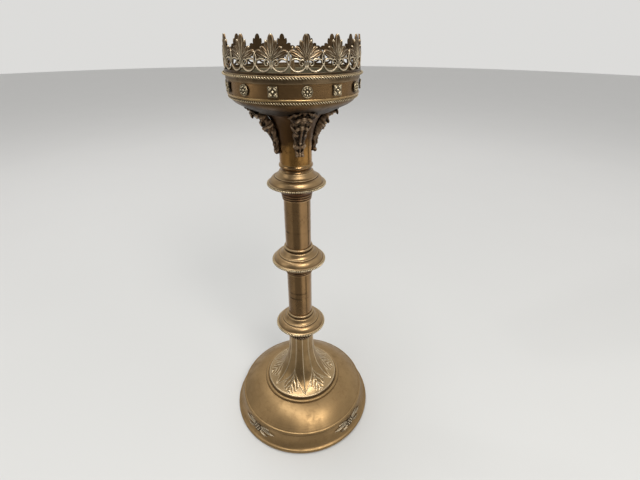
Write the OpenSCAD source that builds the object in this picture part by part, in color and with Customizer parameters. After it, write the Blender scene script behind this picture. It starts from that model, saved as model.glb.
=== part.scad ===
// Brass altar candlestick: a spun foot, a stem of two tubes and three knops, and a
// drum-shaped pan with a crown gallery, strung on one steel tie rod that the pricket clamps.
// Millimetres, +Z up. The floor is z = 0 and the stem's axis is the Z axis.

/* [Foot] */
// Outer radius of the foot's rim
foot_r = 87.7; // [84:0.1:92]
// Radius of the step between the foot's band and its dome
step_r = 78.2; // [76:0.1:80]
// Height of that step above the floor
step_z = 25.4; // [22:0.1:28]
// Height of the flat seat that carries the stem
seat_z = 41; // [38:0.1:46]
// Outer radius of the collar under the leaf trumpet
collar_r = 48.6; // [46:0.1:52]
// Wall of the spun brass pieces
spun_wall = 1.6; // [1:0.1:2]

/* [Stem] */
// Outer radius of the two stem tubes
tube_r = 13.7; // [13:0.1:14.2]
// Wall of the tubes
tube_wall = 1.5; // [1:0.1:3]
// Outer radius of a knop's milled ring
knop_r = 29.3; // [28:0.1:33]
// Height of the lowest knop's centre
knop_z = 133.8; // [130:0.1:145]
// Distance between the lower knop's centre and the middle one's
knop_pitch = 90.4; // [70:0.1:95]
// Distance between the middle knop's centre and the upper one's
upper_pitch = 88.2; // [70:0.1:95]
// Outer radius of the capital's plain neck
neck_r = 15.5; // [15:0.1:16]
// Height of the capital, from the neck ring to the pan
capital_h = 49.1; // [44:0.1:56]

/* [Pan and crown] */
// Outer radius of the pan's plain band
band_r = 56.3; // [54:0.1:60]
// Height of the pan, from its base to the top of its wall
pan_h = 29.6; // [28:0.1:34]
// Height of a palmette's tip above the crown's rail
palmette_h = 24.6; // [22:0.1:28]
// Turn of the first palmette from the front
crown_turn = 10; // [0:1:25]
// Turn of the first bracket from the front
bracket_turn = 11.5; // [0:0.5:30]

/* [Tie rod and pricket] */
// Radius of the steel tie rod, M8
rod_r = 4; // [3:0.5:4.5]
// Height of the pricket above its washer
pricket_h = 46.5; // [35:0.5:48]

/* [Hidden] */
$fn = 96;
units = 14;                                 // palmettes in the crown, and rosettes on the band
BRACKETS = ["front_bracket", "right_bracket", "back_bracket", "left_bracket"];
FOOT_MOUNTS = ["front_right_foot_mount", "back_right_foot_mount",
               "back_left_foot_mount", "front_left_foot_mount"];
KNOPS = ["lower", "middle", "upper"];
ROUND = [for (i = [1:units / 2]) str("round_rosette_", i)];
SQUARE = [for (i = [1:units / 2]) str("square_rosette_", i)];

BRASS = "#a8853f";
DARK_BRASS = "#6e5530";
PALE_BRASS = "#c9b07a";
STEEL = "#8a8d90";

slip = 0.05;                                // radial clearance of a part on its spigot
bore_r = rod_r + 0.3;                       // hole through each piece for the tie rod
collar_top = seat_z + 2.6;                  // where the leaf trumpet stands
web_top = -2;                               // a knop's web, measured from the knop's centre
web_low = -5;
cap_top = 17.2;                             // top of a knop's bead
middle_z = knop_z + knop_pitch;
upper_z = middle_z + upper_pitch;
neck_ring_z = upper_z + 13;                 // neck ring, and the capital that stands on it
capital_z = neck_ring_z + 6.9;
pan_z = capital_z + capital_h;
wall_top = pan_z + pan_h;
rail_z = wall_top + 2.5;                    // underside of the crown's rail
rail_top = rail_z + 1.9;
crown_r = band_r + 0.2;                     // middle radius of the crown's plate
rosette_z = wall_top - 8.5;
floor_z = pan_z + spun_wall;                // the pan's floor, inside
washer_h = 1.4;
pricket_z = floor_z + washer_h;
milled_z = -0.3;                            // milled ring's middle, from the knop's centre
milled_wire = 1.1;

// Points on an arc about [cx, cz], from angle a to angle b
function arc(cx, cz, r, a, b, n = 8) =
    [for (i = [0:n]) let (t = a + (b - a) * i / n) [cx + r * cos(t), cz + r * sin(t)]];
// Points on a cubic curve with end points p0 and p3
function curve(p0, p1, p2, p3, n = 12) =
    [for (i = [0:n]) let (t = i / n, u = 1 - t)
        u * u * u * p0 + 3 * u * u * t * p1 + 3 * u * t * t * p2 + t * t * t * p3];
// The same path, moved by d to the left of its direction
function beside(path, d) =
    [for (i = [0:len(path) - 1])
        let (a = path[max(i - 1, 0)], b = path[min(i + 1, len(path) - 1)], v = (b - a) / norm(b - a))
        path[i] + d * [-v[1], v[0]]];
function reversed(path) = [for (i = [len(path) - 1:-1:0]) path[i]];
// A path raised by z
function lifted(path, z) = [for (p = path) [p[0], p[1] + z]];

module spin(path) {
    rotate_extrude(convexity = 8) polygon(path);
}

// Moves a piece drawn at the front out to radius r at a turn from the front
module around(turn, r, z) {
    rotate([0, 0, turn]) translate([0, -r, z]) children();
}

// ---- Foot ----

band_curve = curve([foot_r - 3.1, 6], [foot_r - 6.4, 10], [step_r + 1.2, 15], [step_r + 1, step_z - 4.2], 10);

module base_dish() {
    edge = arc(step_r - 1.4, step_z - 2.3, 2.3, -30, 72, 6);
    dome = curve([step_r - 1.4, step_z], [step_r - 9, step_z + 7], [62, seat_z - 2.4],
                 [collar_r + 0.2, seat_z], 10);
    top_side = concat(band_curve, edge, dome);
    under = beside(concat(band_curve, [[step_r - 0.6, step_z - 0.8]], dome), spun_wall);
    rim = arc(foot_r - 2.6, 2.6, 2.6, -60, 80, 7);
    color(BRASS) spin(concat(
        [[foot_r - 5, 0], [foot_r - 1.6, 0]], rim, top_side,
        [[bore_r, seat_z], [bore_r, seat_z - spun_wall], [collar_r, seat_z - spun_wall]],
        reversed(under), [[foot_r - 5, 5]]));
}

module foot_mount(i) {
    half_angle = 17.5;
    back = [for (p = band_curve) if (p[1] > 7 && p[1] < step_z - 4.5) p];
    profile = concat(beside(back, -0.05), reversed(beside(back, -1.5)));
    color(PALE_BRASS) rotate([0, 0, 45 + i * 90]) {
        rotate([0, 0, -90 - half_angle])
            rotate_extrude(angle = 2 * half_angle, convexity = 4) polygon(profile);
        translate([0, -step_r - 3.1, step_z - 11]) rotate([76, 0, 0])
            cylinder(r = 4.2, h = 1.3, $fn = 32);
    }
}

module base_collar() {
    color(BRASS) spin(concat(
        [[38, seat_z], [collar_r - 1.2, seat_z]],
        arc(collar_r - 2.3, seat_z + 0.9, 2.3, -20, 120, 7),
        [[collar_r - 5, collar_top], [38, collar_top]]));
}

// ---- Stem ----

trumpet_top = knop_z - 16.6;
trumpet_curve = curve([42.6, collar_top + 3.6], [27.5, collar_top + 10.2], [13.3, collar_top + 25.2],
                      [tube_r + 0.75, trumpet_top], 14);

module leaf_trumpet() {
    spigot_top = knop_z + web_low;
    color(BRASS) spin(concat(
        [[40, collar_top], [42.6, collar_top]],
        arc(42.5, collar_top + 2.1, 1.5, -50, 80, 6),
        trumpet_curve,
        [[tube_r, trumpet_top], [tube_r, spigot_top],
         [tube_r - tube_wall, spigot_top], [tube_r - tube_wall, trumpet_top]],
        reversed(beside(trumpet_curve, 2.1)),
        [[40, collar_top + 1.2]]));
}

module trumpet_rope_collar() {
    color(DARK_BRASS) spin(concat(
        [[tube_r + slip, trumpet_top]],
        arc(tube_r + 1.1, trumpet_top + 1.15, 1.15, -80, 80, 8),
        [[tube_r + slip, trumpet_top + 1.15]]));
}

// A knop is a dish and a cap, which meet at a milled ring. z is its centre. The piece above
// stands on the dish's web, and the piece below comes up to the web from underneath.
module knop_dish(z, long) {
    under = curve([knop_r - 2.4, -1.3], [knop_r - 7, -3.4], [17, -5.2], [15.9, -8.6], 8);
    foot = long ? concat([[tube_r + slip, -17]], arc(tube_r + 0.2, -16.1, 0.95, -70, 60, 5),
                         arc(tube_r + 0.4, -13.7, 1.2, -50, 50, 4))
                : concat([[tube_r + slip, -14.2]], arc(tube_r + 0.3, -13.5, 0.7, -70, 0, 3));
    color(BRASS) spin(lifted(concat(
        [[bore_r, web_top], [bore_r, web_low], [tube_r + slip, web_low]],
        foot,
        arc(tube_r + 0.5, -11, 1.6, -45, 45, 4),
        reversed(under),
        [[knop_r - 2.4, 0.2], [knop_r - 4.2, 0.2], [17.5, web_top]]), z));
}

module knop_milled_ring(z) {
    color(DARK_BRASS) translate([0, 0, z + milled_z])
        rotate_extrude() translate([knop_r - milled_wire, 0]) circle(r = milled_wire, $fn = 24);
}

module knop_cap(z, bead) {
    neck = bead ? concat([[tube_r + slip, cap_top]], arc(tube_r + 0.55, 16, 1.25, 80, -70, 8),
                         [[14.5, 14.3], [14.5, 13.4]])
                : [[tube_r + slip, 13], [15.4, 13]];
    shoulder = arc(15.4, 11.5, 1.5, 75, 20, 5);
    flare = curve([17, 11.6], [17.7, 9.9], [18.5, 8.6], [20.1, 8], 6);
    ridge = arc(20.5, 7.4, 0.5, 110, 0, 4);
    bulge = curve([21.1, 6.9], [23.6, 6.7], [knop_r - 3.9, 4.6], [knop_r - 3.1, 1.8], 8);
    color(BRASS) spin(lifted(concat(
        neck, shoulder, flare, ridge, bulge,
        [[knop_r - 1.5, 0.95], [knop_r - 2.4, 0.25], [knop_r - 4.2, 0.25],
         [knop_r - 5.6, 3.4], [20.6, 5.4], [17, 7.4], [tube_r + slip, 9]]), z));
}

module stem_tube(z_low, z_high) {
    color(BRASS) translate([0, 0, z_low]) difference() {
        cylinder(r = tube_r, h = z_high - z_low);
        translate([0, 0, -1]) cylinder(r = tube_r - tube_wall, h = z_high - z_low + 2);
    }
}

module neck_ring() {
    cove = curve([tube_r + 1.7, neck_ring_z], [tube_r + 0.4, neck_ring_z + 0.9],
                 [tube_r + 0.4, capital_z - 4.6], [tube_r + 1.6, capital_z - 3.7], 6);
    color(BRASS) spin(concat(
        [[tube_r + slip, neck_ring_z]],
        cove,
        arc(tube_r + 0.7, capital_z - 1.85, 2.2, -55, 55, 8),
        [[tube_r + slip, capital_z]]));
}

// Underside of the pan, from its flat base out to the groove that holds the lower rope ring
bowl_curve = curve([35, pan_z], [43, pan_z + 4.6], [band_r - 3.3, pan_z + 6.6],
                   [band_r - 1.7, pan_z + 11.9], 10);
capital_curve = curve([neck_r, capital_z + 11.5], [neck_r + 0.3, capital_z + 27.5],
                      [neck_r + 4, pan_z - 5.4], [30, pan_z - 0.4], 14);

module capital() {
    spigot = upper_z + web_top;
    color(BRASS) spin(concat(
        [[tube_r - tube_wall, spigot], [tube_r, spigot], [tube_r, capital_z], [neck_r, capital_z]],
        capital_curve,
        [[30, pan_z], [bore_r, pan_z], [bore_r, pan_z - 3], [18, pan_z - 3]],
        reversed(beside([for (p = capital_curve) if (p[0] < 20) p], 1.8)),
        [[tube_r - tube_wall, capital_z + 8]]));
}

// A cast leaf scroll between the neck and the pan, in the plane of radius and height
module bracket_outline() {
    back = beside([for (p = capital_curve) if (p[1] > pan_z - 40) p], -0.1);
    front = concat(
        curve([16, pan_z - 41.6], [19.6, pan_z - 41], [18.6, pan_z - 32], [21, pan_z - 26.5], 6),
        curve([22.6, pan_z - 23], [27.4, pan_z - 18.6], [31.4, pan_z - 14.5], [31, pan_z - 9.5], 6),
        curve([35.6, pan_z - 6.6], [38.8, pan_z - 5], [38.6, pan_z + 0.4], [44.4, pan_z + 3.6], 6));
    top = beside([for (p = bowl_curve) if (p[0] < 44.4) p], -0.1);
    polygon(concat(front, reversed(top), [[30.1, pan_z - 0.3]], reversed(back)));
}

// Each leaf of the scroll is as wide as its row in leaves says: radius, height, reach, half width
module bracket(i) {
    leaves = [[19, -34, 7, 6], [27, -17, 9, 8], [38, -2, 9, 10]];
    color(DARK_BRASS) rotate([0, 0, bracket_turn + i * 90]) rotate([90, 0, -90]) {
        translate([0, 0, -3.5]) linear_extrude(7) bracket_outline();
        for (leaf = leaves)
            translate([0, 0, -leaf[3]]) linear_extrude(2 * leaf[3]) intersection() {
                bracket_outline();
                translate([leaf[0], pan_z + leaf[1]]) circle(r = leaf[2], $fn = 32);
            }
    }
}

// ---- Pan and crown ----

module pan() {
    band_low = pan_z + 13.8;
    color(DARK_BRASS) difference() {
        spin(concat(
            [[bore_r, pan_z]], bowl_curve,
            [[band_r - 1.7, band_low], [band_r, band_low], [band_r, wall_top],
             [band_r - spun_wall, wall_top], [band_r - spun_wall, band_low + spun_wall]],
            reversed([for (p = beside(bowl_curve, spun_wall)) if (p[1] > floor_z) p]),
            [[33.5, floor_z], [bore_r, floor_z]]));
        for (i = [0:units - 1])
            around(crown_turn + i * 360 / units, band_r + 1, rosette_z) rotate([-90, 0, 0])
                cylinder(r = 1.1, h = 4, $fn = 24);
    }
}

module pan_bead_ring() {
    color(BRASS) spin(arc(band_r + 0.02, wall_top - 14.5, 0.75, -90, 90, 8));
}

module lower_rope_ring() {
    color(PALE_BRASS) translate([0, 0, wall_top - 16.85])
        rotate_extrude() translate([band_r - 0.7, 0]) circle(r = 0.95, $fn = 24);
}

module pan_lip() {
    color(BRASS) spin(concat(
        [[band_r + slip, wall_top - 3.6], [band_r + 0.7, wall_top - 3.1], [band_r + 0.7, wall_top - 2.4]],
        curve([band_r + 0.7, wall_top - 2.4], [band_r + 0.8, wall_top - 1.2],
              [band_r + 0.9, wall_top - 0.3], [band_r + 1.35, wall_top], 4),
        [[band_r + 1.35, wall_top + 1.75], [band_r + 1, rail_z],
         [band_r - spun_wall, rail_z], [band_r - spun_wall, wall_top], [band_r + slip, wall_top]]));
}

module upper_rope_ring() {
    color(PALE_BRASS) translate([0, 0, wall_top + 0.9])
        rotate_extrude() translate([band_r + 2.3, 0]) circle(r = 0.95, $fn = 24);
}

// One side of a palmette, from its tip down to its stem; z is measured from the rail's top
palmette_side = [
    [0, palmette_h], [1.9, palmette_h - 2.6], [4.6, palmette_h - 3.8], [4.3, palmette_h - 5.4],
    [8.2, palmette_h - 7.4], [8, palmette_h - 9], [11.4, palmette_h - 10.6],
    [10.2, palmette_h - 13.2], [5, palmette_h - 14.4], [1.6, palmette_h - 17]];

module palmette_outline() {
    swag_x = 7;
    swag_r = 5.8;
    polygon(concat(palmette_side, [for (p = reversed(palmette_side)) [-p[0], p[1]]]));
    translate([-1.6, -0.5]) square([3.2, palmette_h - 15]);
    for (s = [-1, 1]) translate([s * swag_x, swag_r - 0.25]) difference() {
        circle(r = swag_r, $fn = 48);
        circle(r = swag_r - 1.3, $fn = 48);
    }
}

module crown_shell(r_in, r_out, h) {
    difference() {
        cylinder(r = r_out, h = h);
        translate([0, 0, -1]) cylinder(r = r_in, h = h + 2);
    }
}

module crown_gallery() {
    plate = 1.3;
    color(PALE_BRASS) union() {
        translate([0, 0, rail_z]) crown_shell(crown_r - 0.9, crown_r + 0.9, rail_top - rail_z);
        intersection() {
            union() for (i = [0:units - 1]) rotate([0, 0, crown_turn + i * 360 / units])
                translate([0, -crown_r + 2.6, rail_top]) rotate([90, 0, 0])
                    linear_extrude(4) palmette_outline();
            translate([0, 0, rail_z])
                crown_shell(crown_r - plate / 2, crown_r + plate / 2, palmette_h + 4);
        }
    }
}

// ---- Rosettes: round ones on even places, square ones between them ----

rosette_back = band_r + 1.2;
rosette_r = 4.4;                            // a round rosette's radius
rosette_w = 8;                              // a square rosette's width

module rosette_place(i) {
    around(crown_turn + i * 360 / units, rosette_back, rosette_z) rotate([90, 0, 0]) children();
}

module round_rosette(i) {
    color(PALE_BRASS) rosette_place(2 * i) {
        cylinder(r = rosette_r, h = 1, $fn = 32);
        for (p = [0:7]) rotate([0, 0, p * 45]) translate([rosette_r - 1.5, 0, 0])
            cylinder(r = 1.1, h = 1.6, $fn = 16);
        cylinder(r = 1.4, h = 2, $fn = 24);
    }
}

module square_rosette(i) {
    color(PALE_BRASS) rosette_place(2 * i + 1) {
        translate([-rosette_w / 2, -rosette_w / 2, 0]) cube([rosette_w, rosette_w, 1]);
        for (p = [0:3]) rotate([0, 0, 45 + p * 90]) translate([3, 0, 0])
            cylinder(r = 1.3, h = 1.6, $fn = 16);
        cylinder(r = 1.6, h = 2, $fn = 24);
    }
}

module rosette_studs() {
    wall_in = band_r - spun_wall;
    color(DARK_BRASS) for (i = [0:units - 1])
        around(crown_turn + i * 360 / units, wall_in - 0.7, rosette_z) rotate([90, 0, 0]) {
            cylinder(r = 1, h = rosette_back - wall_in + 0.7, $fn = 24);
            cylinder(r = 1.9, h = 0.65, $fn = 24);
        }
}

// ---- Tie rod and pricket ----

plate_z = seat_z - spun_wall - 4;
nut_h = 6.5;

module tie_rod() {
    color(STEEL) translate([0, 0, plate_z - 12]) cylinder(r = rod_r, h = pricket_z + 11 - plate_z + 12);
}

module clamp_plate() {
    color(STEEL) translate([0, 0, plate_z]) difference() {
        cylinder(r = 30, h = 4);
        translate([0, 0, -1]) cylinder(r = bore_r, h = 6);
    }
}

module tie_washer() {
    color(STEEL) translate([0, 0, plate_z - 1.6]) difference() {
        cylinder(r = 8, h = 1.6);
        translate([0, 0, -1]) cylinder(r = rod_r + 0.2, h = 4);
    }
}

module tie_nut() {
    color(STEEL) translate([0, 0, plate_z - 1.6 - nut_h]) difference() {
        cylinder(r = 7.5, h = nut_h, $fn = 6);
        translate([0, 0, -1]) cylinder(r = rod_r + slip, h = nut_h + 2);
    }
}

module pricket_washer() {
    color(BRASS) translate([0, 0, floor_z]) difference() {
        cylinder(r = 16, h = washer_h);
        translate([0, 0, -1]) cylinder(r = bore_r, h = washer_h + 2);
    }
}

module pricket() {
    thread_depth = 12.5;
    boss_h = 15;
    color(BRASS) translate([0, 0, pricket_z]) difference() {
        spin(concat(
            [[0, 0], [12, 0]],
            arc(11.2, 1.6, 1.2, -30, 70, 5),
            curve([10.6, 2.9], [7.6, 3.4], [7, 5], [6.8, boss_h - 1.5], 6),
            arc(5.8, boss_h - 1.4, 1, 10, 80, 4),
            [[3.2, boss_h], [0.5, pricket_h - 0.5], [0, pricket_h]]));
        translate([0, 0, -1]) cylinder(r = rod_r + slip, h = thread_depth + 1);
    }
}

// ---- Assembly ----

base_dish();
for (i = [0:3])
    foot_mount(i);
base_collar();
leaf_trumpet();
trumpet_rope_collar();
for (k = [0:2]) {
    z = [knop_z, middle_z, upper_z][k];
    knop_dish(z, long = k > 0);
    knop_milled_ring(z);
    knop_cap(z, bead = k < 2);
}
stem_tube(knop_z + web_top, middle_z + web_low);  // lower_tube
stem_tube(middle_z + web_top, upper_z + web_low);  // upper_tube
neck_ring();
capital();
for (i = [0:3])
    bracket(i);
pan();
pan_bead_ring();
lower_rope_ring();
pan_lip();
upper_rope_ring();
crown_gallery();
for (i = [0:units / 2 - 1]) {
    round_rosette(i);
    square_rosette(i);
}
rosette_studs();
tie_rod();
clamp_plate();
tie_washer();
tie_nut();
pricket_washer();
pricket();
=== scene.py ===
"""An altar candlestick of aged brass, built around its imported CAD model.

Lengths are in millimetres until a mesh is made, and angles in degrees unless a function says
otherwise. A turn is measured about the stem from the front, where -Y is, and grows towards +X.
"""
import math
import random

import bmesh
import bpy
import numpy as np
from mathutils import Matrix, Vector


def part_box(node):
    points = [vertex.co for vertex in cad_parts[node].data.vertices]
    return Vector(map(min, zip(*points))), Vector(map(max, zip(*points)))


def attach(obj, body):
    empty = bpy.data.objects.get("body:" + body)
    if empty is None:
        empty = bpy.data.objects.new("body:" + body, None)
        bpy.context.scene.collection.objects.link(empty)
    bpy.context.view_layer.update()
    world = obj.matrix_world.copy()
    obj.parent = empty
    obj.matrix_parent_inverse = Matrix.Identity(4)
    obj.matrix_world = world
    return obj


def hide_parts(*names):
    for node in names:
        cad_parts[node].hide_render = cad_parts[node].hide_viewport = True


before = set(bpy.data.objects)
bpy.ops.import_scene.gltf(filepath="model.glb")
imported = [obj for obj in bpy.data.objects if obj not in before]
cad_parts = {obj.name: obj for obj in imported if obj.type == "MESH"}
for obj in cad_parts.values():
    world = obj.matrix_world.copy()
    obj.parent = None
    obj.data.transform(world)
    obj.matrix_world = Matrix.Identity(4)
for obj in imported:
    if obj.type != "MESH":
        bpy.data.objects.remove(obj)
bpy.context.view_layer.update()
MM = 0.001


def low(node, axis=2):
    """Lowest place of a CAD node along an axis, in millimetres."""
    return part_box(node)[0][axis] / MM


def high(node, axis=2):
    """Highest place of a CAD node along an axis."""
    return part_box(node)[1][axis] / MM


def middle(node):
    return (low(node) + high(node)) / 2


def radius_of(node):
    return (high(node, 0) - low(node, 0)) / 2


# ---- Places taken from the CAD model, and sizes given here ----

FOOT_R = radius_of("base_dish")
SEAT_Z = high("base_dish")
COLLAR_R = radius_of("base_collar")
COLLAR_TOP = low("leaf_trumpet")
TRUMPET_TOP = low("trumpet_rope_collar")
TUBE_R = radius_of("lower_tube")
MILLED_WIRE = 1.1
MILLED_DROP = 0.3
KNOP_Z = [middle(k + "_knop_milled_ring") + MILLED_DROP for k in ("lower", "middle", "upper")]
KNOP_R = radius_of("lower_knop_milled_ring")
NECK_RING_Z = low("neck_ring")
CAPITAL_Z = high("neck_ring")
NECK_R = TUBE_R + 1.8
PAN_Z = low("pan")
WALL_TOP = high("pan")
BAND_R = radius_of("pan")
RAIL_Z = low("crown_gallery")
TIP_Z = high("crown_gallery")
CROWN_R = BAND_R + 0.2
CROWN_TURN = 10
BRACKET_TURN = 11.5
UNITS = 14
STEP_R = FOOT_R - 9.5
STEP_Z = 25.4
SPUN_WALL = 1.6
ROD_HOLE = 4.3
SLIP = 0.05


# ---- Paths ----

def arc(cx, cz, r, a, b, n=12):
    """Points on an arc about (cx, cz), from angle a to angle b."""
    t = np.radians(np.linspace(a, b, n + 1))
    return np.column_stack([cx + r * np.cos(t), cz + r * np.sin(t)])


def curve(p0, p1, p2, p3, n=24):
    """Points on a cubic curve with end points p0 and p3."""
    t = np.linspace(0, 1, n + 1)[:, None]
    u = 1 - t
    p0, p1, p2, p3 = (np.array(p, float) for p in (p0, p1, p2, p3))
    return u**3 * p0 + 3 * u * u * t * p1 + 3 * u * t * t * p2 + t**3 * p3


def line(*points):
    """A path straight from each point to the next."""
    return np.array(points, float)


def rightward(path):
    """Unit vectors at right angles to a path, to the right of its direction."""
    v = np.gradient(path, axis=0)
    v /= np.linalg.norm(v, axis=1)[:, None]
    return np.column_stack([v[:, 1], -v[:, 0]])


def beside(path, d):
    """The same path, moved by d to the left of its direction."""
    return path - d * rightward(path)


def distances(path):
    """How far along the path each of its points is."""
    return np.r_[0, np.cumsum(np.linalg.norm(np.diff(path, axis=0), axis=1))]


def chain(*paths):
    """Paths joined end to end, with repeated points left out."""
    points = np.vstack(paths)
    keep = np.r_[True, np.linalg.norm(np.diff(points, axis=0), axis=1) > 1e-4]
    return points[keep]


def smooth_path(points, n=40):
    """A round path of n points through the given ones (Catmull-Rom)."""
    p = np.array(points, float)
    p = np.vstack([2 * p[0] - p[1], p, 2 * p[-1] - p[-2]])
    out = []
    for t in np.linspace(0, len(p) - 3 - 1e-6, n):
        i = int(t)
        f = t - i
        a, b, c, d = p[i:i + 4]
        out.append(0.5 * (2 * b + (c - a) * f + (2 * a - 5 * b + 4 * c - d) * f * f
                          + (3 * b - a - 3 * c + d) * f**3))
    return np.array(out)


def even(path, step):
    """The path with points no further apart than step."""
    out = [path[0]]
    for a, b in zip(path[:-1], path[1:]):
        n = max(1, math.ceil(np.linalg.norm(b - a) / step))
        out += [a + (b - a) * (i + 1) / n for i in range(n)]
    return np.array(out)


# ---- Shapes ----

class Shape:
    """Points and faces, with a relief value a point: 0 in a recess, 1 on a worn ridge."""

    def __init__(self):
        self.points, self.relief, self.faces, self.count = [], [], [], 0

    def grid(self, points, relief, caps=False):
        """Faces over a grid of points, (nu, nv, 3), that closes on itself along v. Along u it closes
        on itself too, or has a cap at each end."""
        nu, nv = points.shape[:2]
        index = np.arange(nu * nv).reshape(nu, nv) + self.count
        rows = np.arange(nu) if caps else np.r_[np.arange(nu), 0]
        index = index[np.ix_(rows, np.r_[np.arange(nv), 0])]
        quads = np.stack([index[:-1, :-1], index[1:, :-1], index[1:, 1:], index[:-1, 1:]], -1)
        self.faces += quads.reshape(-1, 4).tolist()
        if caps:
            self.faces += [index[0, :-1].tolist(), index[-1, -2::-1].tolist()]
        self.points.append(points.reshape(-1, 3))
        self.relief.append(np.broadcast_to(relief, (nu, nv)).reshape(-1))
        self.count += nu * nv
        return self

    def make(self, name, node, slot, material, sharp, body="stand"):
        """The finished piece, which rides on a body and stands for a CAD node."""
        mesh = bpy.data.meshes.new(name)
        mesh.from_pydata((np.vstack(self.points) * MM).tolist(), [], self.faces)
        mesh.attributes.new("relief", "FLOAT", "POINT").data.foreach_set(
            "value", unit(np.concatenate(self.relief)))
        mesh.validate()
        face_outward(mesh)
        mesh.shade_smooth()
        mesh.set_sharp_from_angle(angle=math.radians(sharp))
        mesh.materials.append(material)
        piece = bpy.data.objects.new(name, mesh)
        bpy.context.collection.objects.link(piece)
        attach(piece, body)
        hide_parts(node)
        return piece


def face_outward(mesh):
    """Turns every face outward."""
    bm = bmesh.new()
    bm.from_mesh(mesh)
    bmesh.ops.recalc_face_normals(bm, faces=bm.faces)
    bm.to_mesh(mesh)
    bm.free()


def turned(r, turn, z):
    """Points at radius r and height z, at a turn in radians from the front."""
    return np.stack([r * np.sin(turn), -r * np.cos(turn), np.broadcast_to(z, np.shape(r))], -1)


def around(n):
    """n turns in radians, evenly spaced over a whole circle."""
    return np.linspace(0, 2 * np.pi, n, endpoint=False)


def spun(path, n):
    """A path of (radius, height) taken around the stem in n steps."""
    return turned(np.broadcast_to(path[:, 0], (n, len(path))), around(n)[:, None], path[:, 1])


def facing(turn):
    """A function from distance outward, distance across and height to space, for a flat-backed
    piece that faces one turn."""
    outward = np.array([math.sin(turn), -math.cos(turn), 0])
    across = np.array([math.cos(turn), math.sin(turn), 0])
    up = np.array([0, 0, 1])

    def place(r, x, z):
        return r[..., None] * outward + x[..., None] * across + z[..., None] * up
    return place


# ---- Materials ----

class Nodes:
    """Short ways to add shader nodes to one material or world."""

    def __init__(self, tree):
        self.tree = tree
        tree.nodes.clear()

    def add(self, kind, inputs=(), **settings):
        node = self.tree.nodes.new("ShaderNode" + kind)
        for key, value in settings.items():
            setattr(node, key, value)
        for key, value in dict(inputs).items():
            self.put(node.inputs[key], value)
        return node

    def put(self, socket, value):
        if isinstance(value, bpy.types.NodeSocket):
            self.tree.links.new(value, socket)
        else:
            socket.default_value = value

    def math(self, operation, a, b=0.0, clamp=False):
        return self.add("Math", {0: a, 1: b}, operation=operation, use_clamp=clamp).outputs[0]

    def times(self, a, b, clamp=False):
        return self.math("MULTIPLY", a, b, clamp)

    def plus(self, a, b, clamp=False):
        return self.math("ADD", a, b, clamp)

    def span(self, value, start, end, low=0.0, high=1.0):
        """value eased from low to high as it goes from start to end."""
        node = self.add("MapRange", {"Value": value, "From Min": start, "From Max": end,
                                     "To Min": low, "To Max": high})
        node.interpolation_type = "SMOOTHSTEP"
        return node.outputs["Result"]

    def mix(self, factor, a, b):
        """Colour a turning to colour b as the factor grows."""
        node = self.add("Mix", data_type="RGBA")
        self.put(node.inputs["Factor"], factor)
        self.put(node.inputs[6], a)
        self.put(node.inputs[7], b)
        return node.outputs[2]

    def length(self, vector):
        return self.add("VectorMath", {0: vector}, operation="LENGTH").outputs["Value"]

    def noise(self, vector, scale, detail=4.0, roughness=0.55, distortion=0.0):
        return self.add("TexNoise", {"Vector": vector, "Scale": scale, "Detail": detail,
                                     "Roughness": roughness, "Distortion": distortion}).outputs["Fac"]


def new_material(name):
    material = bpy.data.materials.new(name)
    material.use_nodes = True
    return material, Nodes(material.node_tree)


def rgb(r, g, b):
    return (r, g, b, 1.0)


def shade(colour, k):
    """A colour k times as bright."""
    return rgb(*(c * k for c in colour[:3]))


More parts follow.
